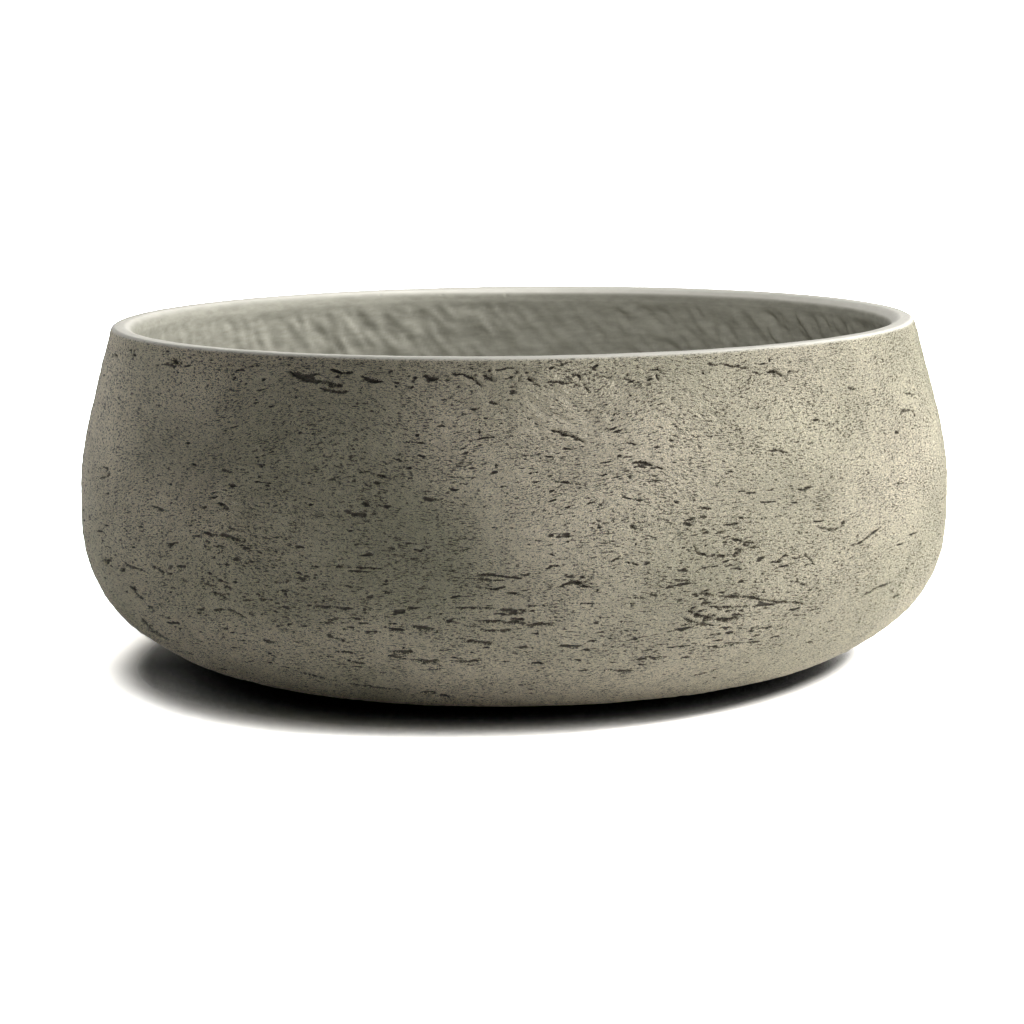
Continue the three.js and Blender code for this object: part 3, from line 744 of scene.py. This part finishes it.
def bowl_bands():
    """The whole closed section: outer face, rim, inner face, floor, drain and underside."""
    outer = outer_profile()
    depth, fields = outer_surface(outer)
    outer_edge = leaning_wall_point(RIM_OUTER_ROUND, RIM_TOP - RIM_OUTER_ROUND)
    inner_edge = leaning_wall_point(WALL_THICKNESS - RIM_INNER_ROUND, RIM_TOP - RIM_INNER_ROUND)
    land = resample(np.concatenate([
        arc(outer_edge, RIM_OUTER_ROUND, RIM_LAND_FROM, 90),
        arc(inner_edge, RIM_INNER_ROUND, 90, 180 + WALL_LEAN)]), LAND_ROW)[1:]
    inner = wall_skin(WALL_THICKNESS, FLOOR_TOP)[::-1]
    inner = resample(np.concatenate([land[-1:], inner]), INNER_ROW)[1:]
    floor_edge = inner[-1, 0]
    seat_edge = np.array([SEAT_RADIUS + SEAT_ROUND, FLOOR_TOP - SEAT_ROUND])
    floor_outer = np.linspace([floor_edge, FLOOR_TOP], [floor_edge / 2, FLOOR_TOP], 40)[1:]
    floor_inner = np.linspace([floor_edge / 2, FLOOR_TOP], [seat_edge[0], FLOOR_TOP], 40)[1:-1]
    drain_edge = [DRAIN_BOTTOM_RADIUS + DRAIN_CHAMFER, UNDERSIDE]
    drain = np.concatenate([
        arc(seat_edge, SEAT_ROUND, 90, 180),
        np.linspace([SEAT_RADIUS, SEAT_HEIGHT], [DRAIN_TOP_RADIUS, SEAT_HEIGHT], 8),
        np.linspace([DRAIN_TOP_RADIUS, SEAT_HEIGHT],
                    [DRAIN_BOTTOM_RADIUS, UNDERSIDE + DRAIN_CHAMFER], 16)[1:],
        [drain_edge]])
    base = np.linspace(drain_edge, [outer[0, 0], UNDERSIDE], 60)[1:-1]
    base_inner, base_outer = base[:30], base[30:]
    round_end = inner_edge[0] - RIM_INNER_ROUND
    # Painted light: the pale rim colour runs down the inner round, less far on the left, where the
    # light from the right already falls on it.
    on_left = smoothstep(0.1, -0.8, np.cos(turns(OUTER_COLUMNS)))
    fade = RIM_INNER_ROUND * (0.18 + 0.62 * on_left)
    land_pale_and_painted_light = smoothstep(round_end, round_end + fade, land[:, :1])
    return [
        Band(outer, OUTER_COLUMNS, [(0.00, 0.30), (0.31, 0.61)], depth, **fields,
             rim=smoothstep(2.6 * MM, 0.7 * MM, (RIM_TOP - outer[:, 1])[:, None])),
        Band(land, OUTER_COLUMNS, [(0.62, 0.64)], land_depth(land), inside=1.0, rim=land_pale_and_painted_light),
        Band(inner, INNER_COLUMNS, [(0.65, 0.84)], inner_depth(inner), inside=1.0),
        flat_band(floor_outer, INNER_COLUMNS, (0.85, 0.90), 44, 0.5, 0.25, 1.0),
        flat_band(floor_inner, FLOOR_COLUMNS, (0.91, 0.93), 45, 0.5, 0.25, 1.0),
        Band(drain, DRAIN_COLUMNS, [(0.94, 0.955)], flat=True, inside=1.0),
        flat_band(base_inner, FLOOR_COLUMNS, (0.96, 0.975), 46, 0.3, 0.15, 0.5),
        flat_band(base_outer, INNER_COLUMNS, (0.98, 1.00), 47, 0.3, 0.15, 0.5),
    ]


# ---- Materials ----

class Tree:
    """A short way to write the node tree of a material or the world."""

    def __init__(self, owner):
        owner.use_nodes = True
        self.owner = owner
        self.nodes = owner.node_tree.nodes
        self.links = owner.node_tree.links

    def add(self, kind, inputs=None, **settings):
        node = self.nodes.new("ShaderNode" + kind)
        for key, value in settings.items():
            setattr(node, key, value)
        for key, value in (inputs or {}).items():
            self.plug(value, node.inputs[key])
        return node

    def finish(self, node, **inputs):
        """Set the inputs of a node that is there from the start, and give back the owner."""
        for key, value in inputs.items():
            self.plug(value, self.nodes[node].inputs[key.replace("_", " ")])
        return self.owner

    def plug(self, value, socket):
        if isinstance(value, bpy.types.NodeSocket):
            self.links.new(value, socket)
        else:
            socket.default_value = value

    def attribute(self, name, vector=False):
        node = self.add("Attribute", attribute_name=name)
        return node.outputs["Vector" if vector else "Fac"]

    def noise(self, vector, scale, detail, roughness):
        node = self.add("TexNoise", {"Vector": vector, "Scale": scale, "Detail": detail,
                                     "Roughness": roughness})
        return node.outputs["Fac"]

    def ramp(self, value, low, high, to_low=0.0, to_high=1.0):
        node = self.add("MapRange", {"Value": value, "From Min": low, "From Max": high,
                                     "To Min": to_low, "To Max": to_high},
                        interpolation_type="SMOOTHSTEP")
        return node.outputs["Result"]

    def math(self, operation, first, second):
        node = self.add("Math", {0: first, 1: second}, operation=operation)
        return node.outputs["Value"]

    def plus(self, first, second):
        return self.math("ADD", first, second)

    def times(self, first, second):
        return self.math("MULTIPLY", first, second)

    def mix(self, factor, first, second, blend="MIX"):
        node = self.add("Mix", data_type="RGBA", blend_type=blend)
        for value, number in ((factor, 0), (first, 6), (second, 7)):
            self.plug(value, node.inputs[number])
        return node.outputs[2]

    def bump(self, height, distance, strength=1.0, normal=None):
        inputs = {"Height": height, "Distance": distance, "Strength": strength}
        if normal is not None:
            inputs["Normal"] = normal
        return self.add("Bump", inputs).outputs["Normal"]


def srgb(red, green, blue):
    """Linear colour of an sRGB one given in 0 to 255."""
    def linear(value):
        value /= 255
        return value / 12.92 if value <= 0.04045 else ((value + 0.055) / 1.055) ** 2.4
    return (linear(red), linear(green), linear(blue), 1.0)


GREEN_GREY = srgb(191, 187, 161)
PINK_BROWN = srgb(243, 232, 207)
STREAK = srgb(190, 184, 164)
INNER_FACE = (srgb(166, 164, 151), srgb(148, 146, 134))
# The rim's paler colour is partly its own and partly painted light on the land that faces up.
RIM_LAND = (srgb(243, 240, 229), srgb(235, 232, 220))
SPECKLE = srgb(118, 112, 94)
# Painted shade: the dark inside flecks, dashes and pits, the deeper pits darker.
FLECK_SHADE = srgb(84, 78, 64)
DASH_SHADE = srgb(64, 58, 46)
PIT_SHADE = (srgb(96, 90, 76), srgb(44, 40, 32))


def concrete_material():
    tree = Tree(bpy.data.materials.new("cast_concrete"))
    unwrap = tree.attribute("unwrap", vector=True)
    inside = tree.attribute("inside")
    rim = tree.attribute("rim")
    density = tree.attribute("density")
    outside = tree.math("SUBTRACT", 1.0, tree.math("MAXIMUM", inside, rim))
    rough = tree.times(outside, tree.ramp(density, -1.4, 0.4, 0.02, 1.0))

    def layered(flatness, scale, detail, roughness=0.6):
        """Noise whose features lie level round the bowl."""
        pressed = tree.add("VectorMath", {0: unwrap, 1: (1.0, 1.0, flatness)}, operation="MULTIPLY")
        return tree.noise(pressed.outputs["Vector"], scale, detail, roughness)

    # Pits: the ones that are cut in the mesh get ragged edges, finer ones are added.
    ragged = layered(1.8, 1100.0, 2.0)
    deep = tree.plus(tree.attribute("pit"), tree.ramp(ragged, 0.2, 0.8, -0.8, 0.7))
    pit = tree.ramp(deep, 0.0, 0.4)
    cluster = tree.noise(unwrap, 42.0, 3.0, 0.6)
    crowd = tree.plus(tree.times(density, 0.052), tree.ramp(cluster, 0.35, 0.65, -0.024, 0.014))
    dash = tree.ramp(tree.plus(layered(4.5, 330.0, 2.5), crowd), 0.567, 0.60)
    dash = tree.times(dash, outside)
    fleck = tree.ramp(tree.plus(layered(2.4, 760.0, 2.0), crowd), 0.575, 0.61)
    fleck = tree.times(fleck, outside)

    # Colour: green-grey and pink-brown clouds with painted light and shade in places, pale streaks,
    # fine grain, painted shade and highlight on the fine relief, then the dark pits in painted
    # shade.
    streak = layered(3.5, 70.0, 4.0, 0.65)
    streaked = tree.ramp(streak, 0.3, 0.7)
    grain = layered(1.5, 900.0, 3.0, 0.7)
    leather = layered(2.4, 380.0, 3.0, 0.65)
    grit = layered(1.7, 1500.0, 1.0, 0.5)
    colour = tree.mix(tree.attribute("tint_and_painted_light"), GREEN_GREY, PINK_BROWN)
    colour = tree.mix(tree.ramp(streak, 0.3, 0.7, 0.0, 0.22), colour, STREAK)
    speckle = tree.times(tree.ramp(grain, 0.36, 0.6, 0.14, 0.0), rough)
    colour = tree.mix(speckle, colour, SPECKLE)
    colour = tree.mix(inside, colour, tree.mix(streaked, *INNER_FACE))
    # Pale rim: its own paler colour, with painted light on the land and down the inner round.
    colour = tree.mix(rim, colour, tree.mix(streaked, *RIM_LAND))
    # Painted shade and highlight of the fine relief: the leather and grit noise that also bump the
    # surface darken and lighten its colour.
    uneven = tree.plus(tree.ramp(leather, 0.36, 0.64, -0.07, 0.04),
                       tree.ramp(grit, 0.3, 0.7, -0.28, 0.30))
    painted_relief_tone = tree.plus(1.0, tree.times(uneven, rough))
    grey = tree.add("CombineColor", {0: painted_relief_tone, 1: painted_relief_tone, 2: painted_relief_tone}).outputs[0]
    colour = tree.mix(outside, colour, tree.mix(1.0, colour, grey, "MULTIPLY"))
    # Painted shade in the flecks, the dashes and the pits, darker the deeper a pit is.
    colour = tree.mix(tree.times(fleck, 0.82), colour, FLECK_SHADE)
    colour = tree.mix(tree.times(dash, 0.86), colour, DASH_SHADE)
    painted_pit_shade = tree.mix(tree.ramp(deep, 0.3, 1.5), *PIT_SHADE)
    colour = tree.mix(tree.times(pit, 0.95), colour, painted_pit_shade)

    # Relief, from the finest grain to the pits.
    normal = tree.bump(grain, 0.0004, tree.plus(0.1, tree.times(rough, 0.75)))
    normal = tree.bump(grit, 0.0007, rough, normal)
    normal = tree.bump(leather, 0.0022, rough, normal)
    normal = tree.bump(tree.math("MAXIMUM", fleck, dash), -0.0010, 0.9, normal)
    normal = tree.bump(pit, -0.0009, 0.8, normal)
    return tree.finish("Principled BSDF", Base_Color=colour, Normal=normal,
                       Roughness=tree.ramp(grain, 0.3, 0.7, 0.84, 0.97),
                       Specular_IOR_Level=0.25)


def rubber_material(name, dark, light, dust, dust_share):
    """Moulded rubber: mottled, dulled where it wore, with pale dust on what faces up."""
    tree = Tree(bpy.data.materials.new(name))
    point = tree.add("TexCoord").outputs["Object"]
    mottle = tree.noise(point, 160.0, 4.0, 0.65)
    grain = tree.noise(point, 2600.0, 2.0, 0.6)
    colour = tree.mix(tree.ramp(mottle, 0.35, 0.65), dark, light)
    up = tree.add("SeparateXYZ", {0: tree.add("NewGeometry").outputs["Normal"]}).outputs["Z"]
    speck = tree.ramp(tree.noise(point, 700.0, 3.0, 0.7), 0.44, 0.66)
    settled = tree.times(speck, tree.ramp(up, 0.2, 0.95, 0.25, 1.0))
    colour = tree.mix(tree.times(settled, dust_share), colour, dust)
    worn = tree.plus(tree.ramp(mottle, 0.3, 0.7, 0.46, 0.66), tree.times(settled, 0.3))
    normal = tree.bump(mottle, 0.0004, 0.5, tree.bump(grain, 0.00012, 0.7))
    return tree.finish("Principled BSDF", Base_Color=colour, Roughness=worn, Normal=normal)


# ---- Pieces ----

def place(mesh, body, slot, material, node):
    """Make a mesh a piece that rides on a body and stands for a node."""
    piece = add_object(mesh.name, mesh)
    mesh.materials.append(material)
    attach(piece, body)
    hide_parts(node)


def tube_faces(rings, columns):
    """Faces between rings that all have one count of columns."""
    return [columns * (row + ring) + column % columns
            for row in range(rings - 1) for ring, column in ring_faces(columns, columns)]


def lathe(profile, columns):
    """Points and faces of a solid of revolution, from a profile that starts and ends on the
    axis, walked with the solid on its left."""
    rings = profile[1:-1]
    points = spun(rings[:, :1], rings[:, 1:], columns).reshape(-1, 3)
    poles = np.array([[0, 0, profile[0, 1]], [0, 0, profile[-1, 1]]])
    pole = len(points)
    faces = tube_faces(len(rings), columns)
    j = np.arange(columns)
    k = (j + 1) % columns
    last = pole - columns
    faces.append(np.stack([k, j, np.full(columns, pole)], axis=1))
    faces.append(np.stack([last + j, last + k, np.full(columns, pole + 1)], axis=1))
    return np.concatenate([points, poles]), faces


def sweep(path, section):
    """Points and faces of a bar along a path in the XZ plane. Section points are in the
    plane and across it."""
    tangent = unit(np.gradient(path, axis=0))
    across = np.stack([tangent[:, 1], 0 * tangent[:, 0], -tangent[:, 0]], axis=1)
    centre = np.insert(path, 1, 0, axis=1)
    columns = len(section)
    points = centre[:, None] + across[:, None] * section[None, :, :1]
    points[..., 1] += section[:, 1]
    ends = [np.arange(columns)[::-1], columns * (len(path) - 1) + np.arange(columns)]
    faces = tube_faces(len(path), columns) + [end[None] for end in ends]
    return points.reshape(-1, 3), faces


def joined(name, *parts):
    """One mesh of several closed shells."""
    points, faces, offset = [], [], 0
    for part_points, part_faces in parts:
        points.append(part_points)
        faces.extend(face + offset for face in part_faces)
        offset += len(part_points)
    return mesh_from_faces(name, np.concatenate(points), faces)


# ---- Drain plug, in mm above the underside of the bowl ----

PLUG_CLEARANCE = 0.3
PLUG_TIP = 3.0
PLUG_TIP_ROUND = 0.8
PLUG_CORE_RADIUS = 6.5
PLUG_CORE_TOP = 14.0
FLANGE_BOTTOM = 18.3
FLANGE_TOP = 21.7
FLANGE_RADIUS = 22.2
FLANGE_EDGE_ROUND = 1.0
PARTING_REACH = 0.12
PARTING_HALF_WIDTH = 0.1
HOLLOW_TOP_CORNER = 0.6
HOLLOW_MOUTH_CHAMFER = 0.4
SHANK_FILLET = 0.6
RIB_HEIGHTS = np.linspace(PLUG_TIP, FLANGE_BOTTOM, 5)[1:-1]
RIB_REACH = 0.9
RIB_HALF_WIDTH = 1.2
DISH_DEPTH = 0.35
LOOP_RADIUS = 10.0
LOOP_FOOT = 20.0
LOOP_SHOULDER = 25.2
LOOP_HALF_BAR = (2.5, 3.0)
LOOP_SQUARENESS = 3.2


def shank_radius(height):
    """Radius of the plug's shank beside the ribs, which follows the tapered hole."""
    taper = (DRAIN_TOP_RADIUS - DRAIN_BOTTOM_RADIUS) / (SEAT_HEIGHT - UNDERSIDE)
    return DRAIN_BOTTOM_RADIUS / MM + taper * height - PLUG_CLEARANCE - RIB_REACH


def plug_mesh():
    """The plug's body on the drain's axis, with its pull loop."""
    heights = np.linspace(PLUG_TIP + PLUG_TIP_ROUND, FLANGE_BOTTOM - SHANK_FILLET, 90)
    ribs = sum(RIB_REACH * np.sqrt(np.maximum(1 - ((heights - rib) / RIB_HALF_WIDTH) ** 2, 0))
               for rib in RIB_HEIGHTS)
    shank = np.stack([shank_radius(heights) + ribs, heights], axis=1)
    tip = np.array([shank[0, 0] - PLUG_TIP_ROUND, PLUG_TIP + PLUG_TIP_ROUND])
    inner = FLANGE_RADIUS - FLANGE_EDGE_ROUND
    parting = 0.5 * (FLANGE_BOTTOM + FLANGE_TOP)
    dish = np.linspace(inner - 0.8, shank[-1, 0] + 1.0, 12)
    sunk = FLANGE_TOP - DISH_DEPTH * smoothstep(inner - 0.8, inner - 2.2, dish)
    middle = np.linspace(dish[-1], 0, 10)[1:]
    profile = np.concatenate([
        [[0, PLUG_CORE_TOP], [PLUG_CORE_RADIUS - HOLLOW_TOP_CORNER, PLUG_CORE_TOP]],
        [[PLUG_CORE_RADIUS, PLUG_CORE_TOP - HOLLOW_TOP_CORNER]],
        [[PLUG_CORE_RADIUS, PLUG_TIP + HOLLOW_MOUTH_CHAMFER]],
        [[PLUG_CORE_RADIUS + HOLLOW_MOUTH_CHAMFER, PLUG_TIP]],
        arc(tip, PLUG_TIP_ROUND, -90, 0, 0.2), shank[1:],
        [[shank[-1, 0] + SHANK_FILLET, FLANGE_BOTTOM]],
        arc(np.array([inner, FLANGE_BOTTOM + FLANGE_EDGE_ROUND]), FLANGE_EDGE_ROUND, -90, 0, 0.15),
        [[FLANGE_RADIUS - PARTING_REACH, parting - PARTING_HALF_WIDTH], [FLANGE_RADIUS, parting],
         [FLANGE_RADIUS - PARTING_REACH, parting + PARTING_HALF_WIDTH]],
        arc(np.array([inner, FLANGE_TOP - FLANGE_EDGE_ROUND]), FLANGE_EDGE_ROUND, 0, 90, 0.15),
        np.stack([dish, sunk], axis=1),
        np.stack([middle, np.full(len(middle), sunk[-1])], axis=1)])
    turn = turns(40)
    round_section = np.stack([np.cos(turn), np.sin(turn)], axis=1)
    squared = np.sign(round_section) * abs(round_section) ** (2 / LOOP_SQUARENESS)
    section = LOOP_HALF_BAR * squared
    crown = arc(np.array([0, LOOP_SHOULDER]), LOOP_RADIUS, 180, 0, 0.8)
    foot = np.linspace(LOOP_FOOT, LOOP_SHOULDER, 8)[:-1]
    leg = np.stack([np.full(len(foot), LOOP_RADIUS), foot], axis=1)
    path = np.concatenate([leg * (-1, 1), crown, leg[::-1]])
    body, bar = lathe(profile, 180), sweep(path, section)
    for points, _ in (body, bar):
        points *= MM
        points[:, 2] += UNDERSIDE
    return joined("plug_moulding", body, bar)


# ---- Floor pads, in mm above the ground ----

PAD_RADIUS = 14.0
PAD_TOP = 3.0
PAD_EDGE_ROUND = 0.8
PAD_GROOVES = (4.0, 7.0, 10.0)
PAD_GROOVE_DEPTH = 0.4
PAD_GROOVE_WIDTH = 0.35
PAD_BULGE = 0.15


def pad_mesh(node):
    """A round pad in the place of its node, with ring grooves in its sole."""
    low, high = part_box(node)
    inner = PAD_RADIUS - PAD_EDGE_ROUND
    across = np.linspace(0, inner - 0.4, 90)
    grooves = sum(PAD_GROOVE_DEPTH * np.exp(-((across - groove) / PAD_GROOVE_WIDTH) ** 2)
                  for groove in PAD_GROOVES)
    side = np.linspace(PAD_EDGE_ROUND, PAD_TOP - PAD_EDGE_ROUND, 9)[1:-1]
    waist = PAD_RADIUS - PAD_BULGE * np.sin(np.pi * (side - side[0]) / (side[-1] - side[0]))
    profile = np.concatenate([
        np.stack([across, grooves], axis=1),
        arc(np.array([inner, PAD_EDGE_ROUND]), PAD_EDGE_ROUND, -90, 0, 0.15),
        np.stack([waist, side], axis=1),
        arc(np.array([inner, PAD_TOP - PAD_EDGE_ROUND]), PAD_EDGE_ROUND, 0, 90, 0.15),
        [[PAD_RADIUS / 2, PAD_TOP], [0, PAD_TOP]]])
    points, faces = lathe(profile, 96)
    points = points * MM + np.array([(low.x + high.x) / 2, (low.y + high.y) / 2, low.z])
    return mesh_from_faces(node.replace("floor_pad", "pad_disc"), points, faces)


# ---- Stage and light ----

FLOOR_REACH = 60.0
FLOOR_WHITE = 12.0
FLOOR_GREY = (0.68, 0.68, 0.68, 1)
CONTACT_REACH = 0.22
SHADOW_CENTRE = (-0.004, 0.109)
SHADOW_HALF_AXES = (0.373, 0.236)
SHADOW_TURN = 79.63
SUN_SOFTNESS = 40
SUNS = {
    "key_low": (90, 12, 0.75),
    "key_front": (69, 12, 0.37),
    "key_high": (90, 35, 0.58),
    "back_left": (-150, 12, 0.50),
    "side_left": (-120, 12, 0.12),
}
MOUTH_PLACE = Vector((0.09, -0.6, 0.43))
MOUTH_AIM = Vector((0.13, 0.235, 0.185))
MOUTH_SIZE = (0.6, 0.03)
MOUTH_SPREAD = 24
MOUTH_POWER = 0.175


def make_floor():
    """A floor whose own colour adds painted shadow to the real one: dark near the bowl by how
    closed in a point is, and fading to white outside an ellipse, the outline of the shadow in the
    photograph."""
    corners = [(x * FLOOR_REACH, y * FLOOR_REACH, 0)
               for x, y in ((-1, -1), (1, -1), (1, 1), (-1, 1))]
    mesh = bpy.data.meshes.new("studio_floor")
    mesh.from_pydata(corners, [], [(0, 1, 2, 3)])
    tree = Tree(bpy.data.materials.new("studio_floor"))
    path = tree.add("LightPath")
    seen = tree.math("MAXIMUM", path.outputs["Is Camera Ray"], path.outputs["Is Glossy Ray"])
    place_on = tree.add("SeparateXYZ", {0: tree.add("NewGeometry").outputs["Position"]})
    across, deep = place_on.outputs["X"], place_on.outputs["Y"]
    near = tree.add("AmbientOcclusion", {"Distance": CONTACT_REACH}, samples=16)
    # The painted shadow whitens sooner in front of the bowl and to its right than behind and on its
    # left.
    gain = tree.plus(tree.ramp(deep, 0.03, -0.19, 4.0, 50.0),
                     tree.ramp(across, 0.0, 0.17, 0.0, 45.0))
    shade = tree.times(tree.math("POWER", near.outputs["AO"], 3.0), gain)
    turned = []
    turn = math.radians(SHADOW_TURN)
    for angle, half in zip((turn, turn + math.pi / 2), SHADOW_HALF_AXES):
        right = tree.times(tree.math("SUBTRACT", across, SHADOW_CENTRE[0]),
                           math.cos(angle) / half)
        back = tree.times(tree.math("SUBTRACT", deep, SHADOW_CENTRE[1]),
                          math.sin(angle) / half)
        turned.append(tree.math("POWER", tree.plus(right, back), 2.0))
    edge = tree.math("SQRT", tree.plus(*turned), 0.0)
    shade = tree.plus(shade, tree.ramp(edge, 0.945, 1.18, 0.0, FLOOR_WHITE))
    shade = tree.math("MINIMUM", shade, FLOOR_WHITE)
    diffuse = tree.add("BsdfDiffuse", {"Color": tree.mix(seen, FLOOR_GREY, shade)})
    mesh.materials.append(tree.finish("Material Output", Surface=diffuse.outputs[0]))
    add_object("studio_floor", mesh)


def make_world():
    """White to the camera and black to all else, so that it gives the bowl no light."""
    world = bpy.data.worlds.new("studio")
    bpy.context.scene.world = world
    tree = Tree(world)
    seen = tree.add("LightPath").outputs["Is Camera Ray"]
    tree.finish("Background", Color=tree.mix(seen, (0, 0, 0, 1), (1, 1, 1, 1)), Strength=1.0)


def hang(light, towards, place=(0, 0, 0)):
    """Put a light in the scene, so that it shines from a direction."""
    holder = add_object(light.name, light)
    holder.location = place
    holder.rotation_euler = towards.to_track_quat("Z", "Y").to_euler()


def make_suns():
    """Parallel lights, each from an azimuth, counted from the viewer's side round to the
    right, and an elevation. At level 1 a surface that faces it renders at its own colour."""
    for name, (azimuth, elevation, level) in SUNS.items():
        light = bpy.data.lights.new(name, "SUN")
        light.energy = level * math.pi
        light.angle = math.radians(SUN_SOFTNESS)
        turn, tilt = math.radians(azimuth), math.radians(elevation)
        hang(light, Vector((math.sin(turn) * math.cos(tilt), -math.cos(turn) * math.cos(tilt),
                            math.sin(tilt))))


def make_mouth_light():
    """A narrow-beamed strip that lights the inner face over the front of the rim."""
    light = bpy.data.lights.new("mouth", "AREA")
    light.shape = "RECTANGLE"
    light.size, light.size_y = MOUTH_SIZE
    light.spread = math.radians(MOUTH_SPREAD)
    light.energy = MOUTH_POWER
    hang(light, MOUTH_PLACE - MOUTH_AIM, MOUTH_PLACE)


# ---- Everything in its place ----

make_camera()
make_floor()
make_world()
make_suns()
make_mouth_light()
concrete = concrete_material()
place(revolve_bands("bowl_concrete", bowl_bands()), "bowl", "cast_concrete", concrete,
      "bowl_shell")
plug_rubber = rubber_material("plug_rubber", srgb(34, 34, 33), srgb(50, 49, 47),
                              srgb(128, 122, 108), 0.45)
place(plug_mesh(), "plug", "plug_rubber", plug_rubber, "drain_plug")
pad_rubber = rubber_material("pad_rubber", srgb(136, 134, 128), srgb(156, 154, 147),
                             srgb(182, 176, 160), 0.6)
for number in range(1, 5):
    node = f"floor_pad_{number}"
    place(pad_mesh(node), "bowl", "pad_rubber", pad_rubber, node)

bpy.context.scene.view_settings.view_transform = "Standard"
